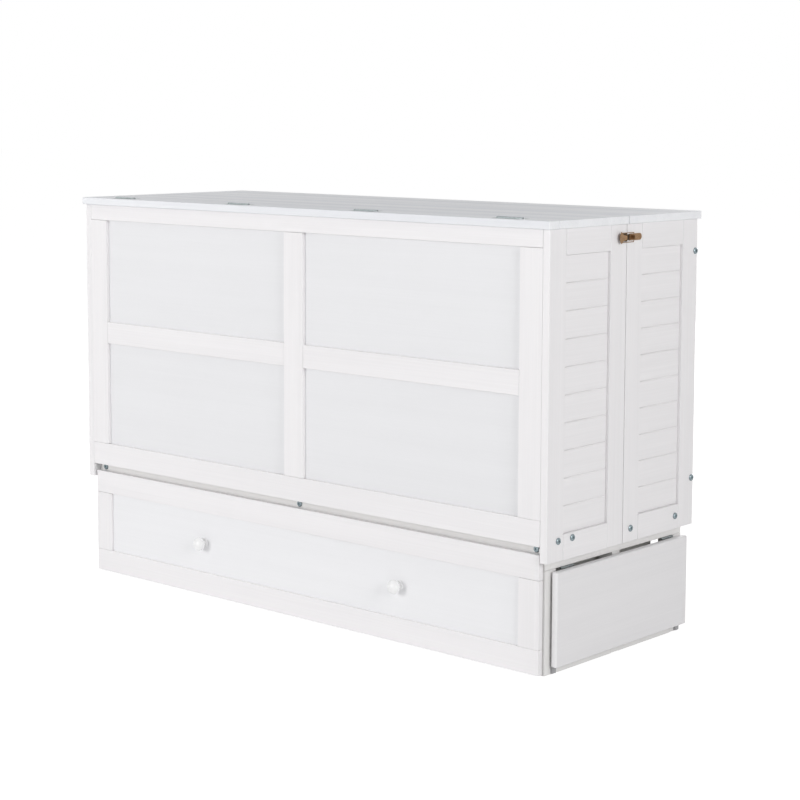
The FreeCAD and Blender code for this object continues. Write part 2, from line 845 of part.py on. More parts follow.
def make_tray_sides():
    """Planked sides that fold forward with the front, bored for the pivot pins."""
    side_x = ("swing_inner", "swing_outer")
    side_y = ("front_face", "split_front")
    side_z = ("side_bottom", "wall_top")
    boards = frame_boards("tray_side", "y", side_x, side_y, side_z, "side_stile", ["side_rail"] * 2)
    bolt_places = {
        "tray_bolt_front": ("swing_outer", "front_face + side_bolt_front", "side_bolt_height"),
        "tray_bolt_rear": ("swing_outer", "front_face + side_bolt_rear", "side_bolt_height"),
    }
    tools = [bolt_hole(f"{key}_hole", "x", at) for key, at in bolt_places.items()]
    tools.append(
        rod(
            "pivot_bore", "x", "pivot_pin_radius + pin_clearance",
            ("swing_inner - overrun", "pivot_y", "pivot_z"),
            "pivot_pin_length + running_gap + overrun",
        )
    )
    handed("tray_side_frame", [cut("tray_side_drilled", group("tray_side", boards), tools)])
    bolts = [bolt(key, "right", at) for key, at in bolt_places.items()]
    pair("tray_side_bolts", bolts)
    inner = ("front_face + side_stile", "split_front - side_stile")
    handed("tray_side_planks", [planks("tray_side_plank", "swing_outer", *inner)])


def make_tray_platform():
    """Upright bearers behind the front and the slats on them."""
    places_x = {
        "end": ("swing_inner - bearer_width", "swing_inner"),
        "mid": ("bearer_place - bearer_width / 2", "bearer_place + bearer_width / 2"),
    }
    bearer_y = ("front_back", "tray_platform - slat_thickness")
    pair(
        "tray_bearers",
        [
            board(f"tray_bearer_{key}", x, bearer_y, ("tray_bearer_low", "foot_high"))
            for key, x in places_x.items()
        ],
    )
    pitch = "(foot_high - tray_slat_low - slat_width) / (tray_slat_count - 1)"
    node(
        "tray_slats",
        [
            slats(
                "tray_slat", "swing_inner - slat_end_gap", "y",
                ("0", "tray_platform - slat_thickness", "tray_slat_low"), pitch, "tray_slat_count",
            )
        ],
    )


def make_top():
    """Fixed nosing and hinged half of the top, with the butt hinges between them."""
    full_x = ("0 - half_width", "half_width")
    top_z = ("wall_top", "overall_height")
    nosing = eased_board(
        "nosing_blank", full_x, ("front_edge", "top_axis_y - running_gap"), top_z, "top_ease"
    )
    flap = eased_board(
        "top_flap_blank", full_x, ("top_axis_y + running_gap", "split_front"), top_z, "top_ease"
    )
    plate_z = ("top_axis_z - hinge_rise - hinge_leaf_thickness", "top_axis_z - hinge_rise")
    centre = ("top_axis_y", "top_axis_z")
    fixed, moving, pins, seats = [], [], [], []
    for index in range(count("top_hinge_count")):
        start = f"{spread(index, 'top_hinge_count', 'top_hinge_pitch')} - hinge_length / 2"
        common = ("x", start, "hinge_length", centre)
        sizes_of_barrel = ("hinge_barrel_radius", "hinge_pin_radius")
        fixed.append(
            hinge_leaf(
                f"nosing_leaf_{index}", *common,
                (("top_axis_y - leaf_end", "top_axis_y - leaf_reach"), plate_z),
                (("top_axis_y - leaf_reach", "top_axis_y - hinge_pin_radius"), plate_z),
                *sizes_of_barrel, 0,
            )
        )
        moving.append(
            hinge_leaf(
                f"flap_leaf_{index}", *common,
                (("top_axis_y + leaf_reach", "top_axis_y + leaf_end"), plate_z),
                (("top_axis_y + hinge_pin_radius", "top_axis_y + leaf_reach"), plate_z),
                *sizes_of_barrel, 1,
            )
        )
        pins.append(
            rod(f"top_pin_{index}", "x", "hinge_pin_radius", (start, *centre), "hinge_length")
        )
        seat_x = (f"{start} - hinge_seat_gap", f"{start} + hinge_length + hinge_seat_gap")
        open_z = "overall_height + overrun"
        seats.append(
            board(
                f"top_leaf_seat_{index}", seat_x,
                ("top_axis_y - leaf_end", "top_axis_y + leaf_end"), (plate_z[0], open_z),
            )
        )
        seats.append(
            board(
                f"top_barrel_seat_{index}", seat_x,
                ("top_axis_y - leaf_reach", "top_axis_y + leaf_reach"),
                ("top_axis_z - leaf_reach", open_z),
            )
        )
    node("top_nosing", [cut("nosing_seated", nosing, seats)])
    node("top_flap_board", [cut("top_flap_seated", flap, seats)])
    node("top_hinge_fixed_leaves", fixed + pins)
    node("top_hinge_moving_leaves", moving)


def make_foot_section():
    """Slatted foot section, folded flat against the tray, with its hinges."""
    rail_y = ("foot_slat_back", "foot_back")
    side_x = ("foot_side - foot_rail_width", "foot_side")
    inner = "foot_side - foot_rail_width"
    across_x = (f"0 - ({inner})", inner)
    leg_rail_z = ("leg_z - leg_rail_width / 2", "leg_z + leg_rail_width / 2")
    side = board("foot_side_rail", side_x, rail_y, ("foot_low", "foot_high"))
    node(
        "foot_rails",
        [
            side,
            mirrored("foot_side_rail_left", side),
            board("foot_hinge_rail", across_x, rail_y, ("foot_high - foot_rail_width", "foot_high")),
            board("foot_end_rail", across_x, rail_y, ("foot_low", "foot_low + foot_rail_width")),
            board("foot_leg_rail", across_x, rail_y, leg_rail_z),
        ],
    )
    pitch = "(foot_length - slat_width) / (foot_slat_count - 1)"
    node(
        "foot_slats",
        [slats("foot_slat", "foot_side", "y", ("0", "foot_platform", "foot_low"), pitch, "foot_slat_count")],
    )
    centre = ("fold_y", "fold_height")
    tray_y = ("tray_platform", "tray_platform + hinge_leaf_thickness")
    foot_y = ("foot_platform - hinge_leaf_thickness", "foot_platform")
    plate_z = ("fold_height - leaf_end", "fold_height - leaf_reach")
    tab_z = ("fold_height - leaf_reach", "fold_height - hinge_pin_radius")
    fixed, moving, pins = [], [], []
    for index in range(count("fold_hinge_count")):
        start = f"{spread(index, 'fold_hinge_count', 'fold_hinge_pitch')} - hinge_length / 2"
        common = ("x", start, "hinge_length", centre)
        barrel = ("hinge_barrel_radius", "hinge_pin_radius")
        fixed.append(
            hinge_leaf(f"tray_leaf_{index}", *common, (tray_y, plate_z), (tray_y, tab_z), *barrel, 0)
        )
        moving.append(
            hinge_leaf(f"foot_leaf_{index}", *common, (foot_y, plate_z), (foot_y, tab_z), *barrel, 1)
        )
        pins.append(
            rod(f"fold_pin_{index}", "x", "hinge_pin_radius", (start, *centre), "hinge_length")
        )
    node("fold_hinge_fixed_leaves", fixed + pins)
    node("fold_hinge_moving_leaves", moving)


def make_legs():
    """Three legs on a stretcher, folded flat on the foot section, and the brackets they turn in."""
    legs, brackets, pins = [], [], []
    for index in range(count("leg_count")):
        middle = spread(index, "leg_count", "leg_pitch")
        leg_x = (f"{middle} - leg_width / 2", f"{middle} + leg_width / 2")
        axis_at = (leg_x[0], "leg_y", "leg_z")
        bar = board(
            f"leg_bar_{index}", leg_x,
            ("leg_y - leg_thickness / 2", "leg_y + leg_thickness / 2"), ("leg_z", "leg_z + leg_length"),
        )
        head = rod(f"leg_head_{index}", "x", "leg_thickness / 2", axis_at, "leg_width")
        bore = rod(
            f"leg_bore_{index}", "x", "leg_pin_radius + pin_clearance",
            (f"{leg_x[0]} - overrun", "leg_y", "leg_z"), "leg_width + 2 * overrun",
        )
        legs.append(cut(f"leg_{index}", fused(f"leg_solid_{index}", [bar, head]), [bore]))
        for key, near in (("near", f"{leg_x[0]} - running_gap - leg_bracket_thickness"),
                          ("far", f"{leg_x[1]} + running_gap")):
            name = f"leg_bracket_{key}_{index}"
            cheek_x = (near, f"{near} + leg_bracket_thickness")
            web = board(
                f"{name}_web", cheek_x, ("foot_back", "leg_y"),
                ("leg_z - leg_bracket_radius", "leg_z + leg_bracket_radius"),
            )
            nose = rod(
                f"{name}_nose", "x", "leg_bracket_radius", (near, "leg_y", "leg_z"),
                "leg_bracket_thickness",
            )
            hole = rod(
                f"{name}_hole", "x", "leg_pin_radius + pin_clearance",
                (f"{near} - overrun", "leg_y", "leg_z"), "leg_bracket_thickness + 2 * overrun",
            )
            clear = board(
                f"{name}_clear", cheek_x, ("foot_back - leg_bracket_radius", "foot_back"),
                ("leg_z - leg_bracket_radius", "leg_z + leg_bracket_radius"),
            )
            brackets.append(cut(name, fused(f"{name}_solid", [web, nose]), [hole, clear]))
        reach = "leg_width / 2 + running_gap + leg_bracket_thickness"
        pins.append(
            rod(
                f"leg_pin_{index}", "x", "leg_pin_radius",
                (f"{middle} - ({reach})", "leg_y", "leg_z"), f"2 * ({reach})",
            )
        )
    node("foot_legs", legs)
    node("leg_brackets", brackets + pins)
    half = "(leg_count - 1) / 2 * leg_pitch + leg_width / 2"
    back = "leg_y + leg_thickness / 2"
    node(
        "leg_stretcher",
        [
            board(
                "leg_stretcher_board", (f"0 - ({half})", half),
                (back, f"{back} + leg_stretcher_thickness"),
                ("leg_z + leg_stretcher_drop", "leg_z + leg_stretcher_drop + leg_stretcher_width"),
            )
        ],
    )


def make_drawer():
    """Drawer with a framed front, a box and two knobs."""
    front_y = ("drawer_face", "drawer_back_face")
    full_x = ("0 - drawer_half", "drawer_half")
    window_z = ("drawer_floor_gap + drawer_rail", "drawer_top - drawer_rail")
    node(
        "drawer_front_rails",
        [
            board("drawer_rail_high", full_x, front_y, (window_z[1], "drawer_top")),
            board("drawer_rail_low", full_x, front_y, ("drawer_floor_gap", window_z[0])),
        ],
    )
    inner = "drawer_half - drawer_stile"
    pair("drawer_front_stiles", [board("drawer_stile_right", (inner, "drawer_half"), front_y, window_z)])
    panel_face = "drawer_face + drawer_panel_recess"
    panel_y = (panel_face, f"{panel_face} + drawer_panel_thickness")
    node("drawer_front_panel", [board("drawer_panel", (f"0 - ({inner})", inner), panel_y, window_z)])
    box_z = ("drawer_box_low", "drawer_box_top")
    side_inner = "drawer_box_half - drawer_board"
    inner_x = (f"0 - ({side_inner})", side_inner)
    pair(
        "drawer_sides",
        [
            board(
                "drawer_side", (side_inner, "drawer_box_half"),
                ("drawer_back_face", "drawer_box_rear"), box_z,
            )
        ],
    )
    back_y = ("drawer_box_rear - drawer_board", "drawer_box_rear")
    node("drawer_back", [board("drawer_back_board", inner_x, back_y, box_z)])
    node(
        "drawer_bottom",
        [
            board(
                "drawer_bottom_board", inner_x, ("drawer_back_face", back_y[0]),
                ("drawer_bottom_low", "drawer_bottom_low + drawer_bottom_thickness"),
            )
        ],
    )
    pair("drawer_knobs", [knob()])


def knob():
    """A domed knob on a neck and a flange, on the drawer's recessed panel."""
    seat = "drawer_face + drawer_panel_recess"
    at = ("knob_place", seat, "knob_height")
    out = ALONG["y"].inverted()
    flange = doc.addObject("Part::Cylinder", "knob_flange")
    flange.setExpression("Radius", bind("knob_flange_radius"))
    flange.setExpression("Height", bind("knob_flange_thickness"))
    place(flange, at, out)
    neck = doc.addObject("Part::Cylinder", "knob_neck")
    neck.setExpression("Radius", bind("knob_neck_radius"))
    neck.setExpression("Height", bind("knob_reach - knob_crown"))
    place(neck, at, out)
    crown = doc.addObject("Part::Ellipsoid", "knob_crown")
    crown.setExpression("Radius1", bind("knob_crown"))
    crown.setExpression("Radius2", bind("knob_radius"))
    crown.setExpression("Radius3", bind("knob_radius"))
    place(crown, ("knob_place", f"{seat} - (knob_reach - knob_crown)", "knob_height"), out)
    return fused("knob", [flange, neck, crown])


def channel(name, back, mouth, low, high):
    """A runner section: a web at its back and two flanges that reach to its mouth."""
    sign = "+" if back == "drawer_box_half" else "-"
    inner = f"{back} {sign} runner_wall"
    points = [
        (back, low),
        (mouth, low),
        (mouth, f"{low} + runner_wall"),
        (inner, f"{low} + runner_wall"),
        (inner, f"{high} - runner_wall"),
        (mouth, f"{high} - runner_wall"),
        (mouth, high),
        (back, high),
    ]
    return extruded(
        name, "XZ_Plane", points, "runner_length", ("0", "runner_front", "0"), backwards=True
    )


def make_runners():
    """Side-mounted runners: a channel on the posts and a channel on the drawer that slides in it."""
    outer = channel(
        "runner_outer", "base_inner", "base_inner - runner_depth", "runner_low", "runner_high"
    )
    inset = "runner_wall + runner_gap"
    inner = channel(
        "runner_inner", "drawer_box_half", "drawer_box_half + runner_depth",
        f"runner_low + {inset}", f"runner_high - ({inset})",
    )
    pair("drawer_runner_channels", [outer])
    pair("drawer_runner_slides", [inner])


def make_shelves():
    """Flap shelves hinged under the base's side rails, with the catches that hold them down."""
    handed(
        "shelf_panel",
        [
            eased_board(
                "shelf_panel_board",
                ("shelf_inner", "shelf_outer"), ("shelf_front", "shelf_rear"),
                ("shelf_low", "shelf_high"), "shelf_ease",
            )
        ],
    )
    starts = {
        "front": "base_front + post_depth + shelf_hinge_front_gap",
        "rear": "back_inner - post_depth - shelf_hinge_rear_gap - shelf_hinge_length",
    }
    centre = ("shelf_axis_x", "shelf_axis_z")
    barrel = ("shelf_barrel_radius", "shelf_pin_radius")
    base_x = ("side_inner - shelf_leaf_height", "side_inner")
    base_tab = ("side_inner", "shelf_axis_x")
    base_z = ("post_height - shelf_leaf_thickness", "post_height")
    reach = "shelf_barrel_radius + hinge_seat_gap"
    flap_x = ("shelf_inner - shelf_leaf_thickness", "shelf_inner")
    flap_z = (f"shelf_axis_z - ({reach}) - shelf_leaf_height", f"shelf_axis_z - ({reach})")
    flap_tab = (f"shelf_axis_z - ({reach})", "shelf_axis_z")
    fixed, moving, pins = [], [], []
    for key, start in starts.items():
        common = ("y", start, "shelf_hinge_length", centre)
        fixed.append(
            hinge_leaf(f"shelf_base_leaf_{key}", *common, (base_x, base_z), (base_tab, base_z), *barrel, 0)
        )
        moving.append(
            hinge_leaf(f"shelf_flap_leaf_{key}", *common, (flap_x, flap_z), (flap_x, flap_tab), *barrel, 1)
        )
        pins.append(
            rod(
                f"shelf_pin_{key}", "y", "shelf_pin_radius", (centre[0], start, centre[1]),
                "shelf_hinge_length",
            )
        )
    pair("shelf_hinge_fixed_leaves", fixed + pins)
    handed("shelf_hinge_leaves", moving)
    catch_x = ("side_inner", "shelf_inner - shelf_catch_gap")
    catch_z = ("shelf_catch_low", "shelf_catch_low + shelf_catch_height")
    far = "shelf_catch_inset + shelf_catch_length"
    catch_runs = {
        "front": ("shelf_front + shelf_catch_inset", f"shelf_front + {far}"),
        "rear": (f"shelf_rear - ({far})", "shelf_rear - shelf_catch_inset"),
    }
    pair(
        "shelf_catches",
        [board(f"shelf_catch_{key}", catch_x, run, catch_z) for key, run in catch_runs.items()],
    )


def make_latches():
    """Toggle latches over the split: a lever and a wire bail on the tray, a keeper on the headboard."""
    pair("latch_keepers", [keeper()])
    base_z = ("latch_height - latch_base_height / 2", "latch_height + latch_base_height / 2")
    plate = board(
        "latch_base_plate",
        ("swing_outer", "swing_outer + latch_plate_thickness"),
        ("0 - latch_base_start - latch_base_length", "0 - latch_base_start"),
        base_z,
    )
    ear_inner = "latch_eye_length / 2 + knuckle_gap"
    pieces = [plate]
    for key, low in (
        ("low", f"latch_height - ({ear_inner}) - latch_ear_thickness"),
        ("high", f"latch_height + {ear_inner}"),
    ):
        pieces.append(
            rod(
                f"latch_ear_{key}", "z", "latch_ear_radius",
                ("latch_pivot_x", "latch_pivot_y", low), "latch_ear_thickness",
            )
        )
        pieces.append(
            board(
                f"latch_ear_web_{key}", ("swing_outer", "latch_pivot_x"),
                ("latch_pivot_y - latch_ear_radius", "latch_pivot_y + latch_ear_radius"),
                (low, f"{low} + latch_ear_thickness"),
            )
        )
    pin_half = f"({ear_inner}) + latch_ear_thickness"
    pieces.append(
        rod(
            "latch_pin", "z", "latch_pin_radius",
            ("latch_pivot_x", "latch_pivot_y", f"latch_height - ({pin_half})"), f"2 * ({pin_half})",
        )
    )
    pair("latch_bases", [fused("latch_base", pieces)])
    handed("latch_lever", [lever()])
    handed("latch_bail", [bail()])


def keeper():
    """A plate with a rounded end and a hook that stands out of it and turns back at its tip."""
    plate = board(
        "keeper_plate",
        ("side_outer", "side_outer + latch_plate_thickness"),
        ("keeper_start", "keeper_end"),
        ("latch_height - keeper_width / 2", "latch_height + keeper_width / 2"),
    )
    rounding = rod(
        "keeper_rounding", "x", "keeper_width / 2", ("side_outer", "keeper_end", "latch_height"),
        "latch_plate_thickness",
    )
    stem = "hook_place + hook_thickness"
    tip = "swing_outer + hook_reach"
    hook_points = [
        ("side_outer", "hook_place"),
        (tip, "hook_place"),
        (tip, f"{stem} + hook_lip"),
        (f"{tip} - hook_tip", f"{stem} + hook_lip"),
        (f"{tip} - hook_thickness", stem),
        ("side_outer", stem),
    ]
    hook = extruded("keeper_hook", "XY_Plane", hook_points, "hook_width", ("0", "0", "latch_height"), True)
    return fused("keeper", [plate, rounding, hook])


def lever():
    """A lever with an eye for the fixed pin, an eye for the bail and an end that flares like a fish tail."""
    outer = "lever_outer"
    inner = "latch_pivot_x"
    bent_points = [
        (inner, "lever_start"),
        (outer, "lever_start"),
        (outer, "lever_bend"),
        (f"{outer} + lever_tab_rise", "lever_end"),
        (f"{inner} + lever_tab_rise", "lever_end"),
        (inner, "lever_bend"),
    ]
    strip = extruded(
        "lever_strip", "XY_Plane", bent_points, "lever_flare_width", ("0", "0", "latch_height"), True
    )
    hollow = "lever_width / 2 + flare_radius"
    depth = "lever_thickness + lever_tab_rise + 2 * overrun"
    hollows = [
        rod(f"lever_hollow_{key}", "x", "flare_radius", (f"{inner} - overrun", "lever_start", rise), depth)
        for key, rise in (("low", f"latch_height - ({hollow})"), ("high", f"latch_height + {hollow}"))
    ]
    crown = rod(
        "lever_crown_disc", "x", "crown_radius",
        (f"{inner} - overrun", "lever_end + crown_radius", "latch_height"), depth,
    )
    bill = cut("lever_bill", shared("lever_blank", [strip, crown]), hollows)
    eye_z = ("latch_height - latch_eye_length / 2", "latch_height + latch_eye_length / 2")
    neck = board("lever_neck_plate", (inner, outer), ("lever_start", "latch_pivot_y"), eye_z)
    eye = rod(
        "lever_eye", "z", "latch_eye_radius", ("latch_pivot_x", "latch_pivot_y", eye_z[0]),
        "latch_eye_length",
    )
    half = "lever_width / 2"
    bail_eye = rod(
        "lever_bail_eye", "z", "latch_eye_radius",
        ("bail_x", "bail_y", f"latch_height - {half}"), "lever_width",
    )
    bores = [
        rod(
            "lever_bore", "z", "latch_pin_radius + pin_clearance",
            ("latch_pivot_x", "latch_pivot_y", f"{eye_z[0]} - overrun"),
            "latch_eye_length + 2 * overrun",
        ),
        rod(
            "lever_bail_bore", "z", "bail_radius + pin_clearance",
            ("bail_x", "bail_y", f"latch_height - {half} - overrun"),
            "lever_width + 2 * overrun",
        ),
    ]
    return cut("lever", fused("lever_solid", [bill, neck, eye, bail_eye]), bores)


def bail():
    """A closed wire loop: an axle in the lever, two legs and the bar behind the hook."""
    low = "latch_height - bail_half_width"
    high = "latch_height + bail_half_width"
    far = "bail_y + bail_length"
    pieces = [
        rod("bail_axle", "z", "bail_radius", ("bail_x", "bail_y", low), "2 * bail_half_width"),
        rod("bail_bar", "z", "bail_radius", ("bail_x", far, low), "2 * bail_half_width"),
        rod("bail_leg_low", "y", "bail_radius", ("bail_x", "bail_y", low), "bail_length"),
        rod("bail_leg_high", "y", "bail_radius", ("bail_x", "bail_y", high), "bail_length"),
    ]
    for index, (run, rise) in enumerate(((far, low), (far, high), ("bail_y", low), ("bail_y", high))):
        pieces.append(ball(f"bail_corner_{index}", "bail_radius", ("bail_x", run, rise)))
    return fused("bail", pieces)


def write_parts():
    """Check every object and write each sub-part to its own file."""
    failed = [item.Name for item in doc.Objects if {"Invalid", "Error"} & set(item.State)]
    failed += [item.Label for item in nodes if item.Shape.isNull() or not item.Shape.isValid()]
    if failed:
        raise RuntimeError(f"Failed pieces: {failed}")
    os.makedirs("parts", exist_ok=True)
    for item in nodes:
        item.Shape.exportStep(f"parts/{item.Label}.step")
        print(item.Label, len(item.Shape.Solids), item.Shape.BoundBox)
    print(len(nodes), "sub-parts")


make_base()
make_rear_half()
make_front()
make_tray_sides()
make_tray_platform()
make_top()
make_foot_section()
make_legs()
make_drawer()
make_runners()
make_shelves()
make_latches()
doc.recompute()
write_parts()
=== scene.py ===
"""Looks of the wall bed: painted boards, pine slats, zinc hardware and antique brass latches.

Metres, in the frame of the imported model: +Z up, front towards -Y, origin on the floor.
"""

import itertools
import json
import math
import random

import bmesh
import bpy
from mathutils import Matrix, Vector


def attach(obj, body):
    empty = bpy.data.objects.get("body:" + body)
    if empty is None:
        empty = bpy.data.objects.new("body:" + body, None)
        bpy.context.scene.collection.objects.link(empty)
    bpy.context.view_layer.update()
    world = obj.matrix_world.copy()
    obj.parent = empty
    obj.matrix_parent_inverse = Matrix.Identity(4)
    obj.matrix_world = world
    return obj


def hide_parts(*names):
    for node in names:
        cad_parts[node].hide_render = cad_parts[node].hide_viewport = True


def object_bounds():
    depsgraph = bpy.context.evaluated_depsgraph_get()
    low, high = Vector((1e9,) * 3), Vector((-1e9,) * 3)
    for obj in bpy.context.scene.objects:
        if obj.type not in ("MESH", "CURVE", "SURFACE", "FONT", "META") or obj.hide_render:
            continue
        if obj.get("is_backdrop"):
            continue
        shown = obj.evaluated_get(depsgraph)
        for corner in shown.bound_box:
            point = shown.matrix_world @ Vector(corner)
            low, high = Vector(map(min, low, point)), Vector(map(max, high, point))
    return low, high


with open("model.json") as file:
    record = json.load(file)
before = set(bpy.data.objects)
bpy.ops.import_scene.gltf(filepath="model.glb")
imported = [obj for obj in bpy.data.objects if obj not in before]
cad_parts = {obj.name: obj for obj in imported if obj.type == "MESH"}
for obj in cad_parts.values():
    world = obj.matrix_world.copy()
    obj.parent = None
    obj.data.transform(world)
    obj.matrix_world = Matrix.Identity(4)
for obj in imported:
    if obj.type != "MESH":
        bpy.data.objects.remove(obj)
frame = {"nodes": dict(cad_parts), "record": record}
CAD_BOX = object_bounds()
NODES = frame["nodes"]
SLOT_OF = {part["node"]: part["material_slot"] for part in frame["record"]["subparts"]}
BODY_OF = {
    node: body for body, members in frame["record"]["behaviour"]["bodies"].items() for node in members
}
MM = 0.001


def new_object(name, data):
    """An object in the scene."""
    made = bpy.data.objects.new(name, data)
    bpy.context.scene.collection.objects.link(made)
    return made


# Camera, fitted to the photograph's corners: metres, degrees, pixels of the square frame, sensor in mm
CAMERA_PLACE = (3.4140, -3.7721, 1.3007)
CAMERA_YAW = 41.823
CAMERA_PITCH = 5.804
CAMERA_ROLL = -0.157
FOCAL_PX = 1953.0
AXIS_PX = (384, 304)
FRAME_PX = 800
SENSOR_WIDTH = 36


def set_camera():
    """A camera where the photograph was taken from."""
    yaw, pitch, roll = (math.radians(angle) for angle in (CAMERA_YAW, CAMERA_PITCH, CAMERA_ROLL))
    forward = Vector((
        -math.sin(yaw) * math.cos(pitch), math.cos(yaw) * math.cos(pitch), -math.sin(pitch)
    ))
    right = Vector((math.cos(yaw), math.sin(yaw), 0))
    up = right.cross(forward)
    turn = Matrix((right, up, -forward)).transposed() @ Matrix.Rotation(-roll, 3, "Z")
    data = bpy.data.cameras.new("camera")
    data.sensor_width = SENSOR_WIDTH
    data.lens = FOCAL_PX / FRAME_PX * SENSOR_WIDTH
    data.shift_x = 0.5 - AXIS_PX[0] / FRAME_PX
    data.shift_y = AXIS_PX[1] / FRAME_PX - 0.5
    camera = new_object("camera", data)
    camera.matrix_world = Matrix.Translation(CAMERA_PLACE) @ turn.to_4x4()
    bpy.context.scene.camera = camera


# Sockets of the mix of two colours
MIX_FACTOR, MIX_FIRST, MIX_SECOND, MIX_RESULT = 0, 6, 7, 2

# Noise that the materials share
NOISE_SPAN = (0.3, 0.7)
NOISE_ROUGHNESS = 0.5
GRAIN_ROUGHNESS = 0.6
FINE_DETAIL = 4.0
BROAD_DETAIL = 2.0


def add_node(tree, kind, inputs=None, **settings):
    """A shader node with its settings, and its inputs linked or set."""
    made = tree.nodes.new(kind)
    for key, value in settings.items():
        setattr(made, key, value)
    for key, value in (inputs or {}).items():
        socket = made.inputs[key]
        if isinstance(value, bpy.types.NodeSocket):
            tree.links.new(value, socket)
        else:
            socket.default_value = value
    return made


def combined(tree, operation, first, second):
    """Two numbers, joined by an operation."""
    return add_node(tree, "ShaderNodeMath", {0: first, 1: second}, operation=operation).outputs["Value"]


def ranged(tree, value, low, high, span=NOISE_SPAN):
    """A value whose span is spread between two numbers."""
    start, end = span
    spread = add_node(
        tree, "ShaderNodeMapRange",
        {"Value": value, "From Min": start, "From Max": end, "To Min": low, "To Max": high},
    )
    return spread.outputs["Result"]


def mixed(tree, factor, first, second):
    """A colour between two, by a factor. A colour is a socket or its three channels."""
    mix = add_node(tree, "ShaderNodeMix", {MIX_FACTOR: factor}, data_type="RGBA")
    for index, colour in ((MIX_FIRST, first), (MIX_SECOND, second)):
        if isinstance(colour, bpy.types.NodeSocket):
            tree.links.new(colour, mix.inputs[index])
        else:
            mix.inputs[index].default_value = (*colour, 1)
    return mix.outputs[MIX_RESULT]


def stretched(tree, place, scale):
    """A place with a scale for each axis."""
    return add_node(tree, "ShaderNodeMapping", {"Vector": place, "Scale": scale}).outputs["Vector"]


def noise(tree, place, scale, detail, roughness=NOISE_ROUGHNESS):
    """Noise at a place, from 0 to 1."""
    made = add_node(
        tree, "ShaderNodeTexNoise",
        {"Vector": place, "Scale": scale, "Detail": detail, "Roughness": roughness},
    )
    return made.outputs["Fac"]


def grain_place(tree):
    """The place on a board: along, across and through it."""
    return add_node(tree, "ShaderNodeAttribute", attribute_name="grain").outputs["Vector"]


def grain_noise(tree, scale, detail=FINE_DETAIL):
    """Noise drawn out along the grain, from 0 to 1."""
    return noise(tree, stretched(tree, grain_place(tree), scale), 1.0, detail, GRAIN_ROUGHNESS)


def object_place(tree):
    """The place on a sub-part, in metres."""
    return add_node(tree, "ShaderNodeTexCoord").outputs["Object"]


def new_material(name):
    """A material, its node tree and its surface shader."""
    material = bpy.data.materials.new(name)
    material.use_nodes = True
    tree = material.node_tree
    return material, tree, tree.nodes["Principled BSDF"]


def dress_surface(tree, surface, colour, roughness, height, relief):
    """A surface with its colour and its roughness, and a relief of some strength and depth."""
    strength, depth = relief
    bump = add_node(tree, "ShaderNodeBump", {"Height": height, "Strength": strength, "Distance": depth})
    tree.links.new(colour, surface.inputs["Base Color"])
    tree.links.new(roughness, surface.inputs["Roughness"])
    tree.links.new(bump.outputs["Normal"], surface.inputs["Normal"])


# Painted wood, with its grain in features per metre along, across and through a board
FIBRE_GRAIN = (3, 260, 260)
BAND_GRAIN = (0.9, 26, 26)
PAINT_SPAN = (0.75, 1.25)
PAINT_UNEVENNESS = 0.06
PAINT_RELIEF = (0.12, 0.4 * MM)
PAINT_SPECULAR = 0.5
STREAK_GRAIN = (0.3, 22, 22)
STREAK_DETAIL = 6.0
STREAK_SPAN = (0.4, 0.66)


def streaked(tree, coat, streak):
    """A coat with long streaks along the grain, but none on the end grain."""
    lines = ranged(tree, grain_noise(tree, STREAK_GRAIN, STREAK_DETAIL), 0.0, 1.0, STREAK_SPAN)
    ends = add_node(tree, "ShaderNodeAttribute", attribute_name="end_grain").outputs["Fac"]
    depth = combined(tree, "MULTIPLY", lines, combined(tree, "SUBTRACT", 1.0, ends))
    return mixed(tree, depth, coat, streak)


def paint(name, colour, shade, roughness, specular=PAINT_SPECULAR, streak=None):
    """Satin paint over wood: fine fibres and broad growth bands show faintly, and any streaks."""
    material, tree, surface = new_material(name)
    fibres = grain_noise(tree, FIBRE_GRAIN)
    bands = grain_noise(tree, BAND_GRAIN, BROAD_DETAIL)
    both = combined(tree, "ADD", fibres, bands)
    coat = mixed(tree, ranged(tree, both, 0.0, 1.0, PAINT_SPAN), shade, colour)
    if streak:
        coat = streaked(tree, coat, streak)
    gloss = ranged(tree, bands, roughness - PAINT_UNEVENNESS, roughness + PAINT_UNEVENNESS)
    surface.inputs["Specular IOR Level"].default_value = specular
    dress_surface(tree, surface, coat, gloss, both, PAINT_RELIEF)
    return material


# Planed pine, with its grain in features per metre along, across and through a board
RING_GRAIN = (0.35, 14, 14)
RING_WAVE = {
    "Scale": 1.1,
    "Distortion": 6.0,
    "Detail": 3.0,
    "Detail Scale": 0.9,
    "Detail Roughness": 0.55,
}
RING_SPAN = (0.2, 1.0)
RING_SHARE = 0.75
PINE_BAND_GRAIN = (0.7, 11, 11)
PINE_BAND_SHARE = 0.55
PINE_BAND_TONE = 0.86
PORE_GRAIN = (8, 420, 420)
PORE_SPAN = (0.55, 0.75)
PORE_SHARE = 0.35
PORE_TONE = 0.72
PINE_SMOOTHER = 0.08
PINE_ROUGHER = 0.1
PINE_RELIEF = (0.2, 0.3 * MM)


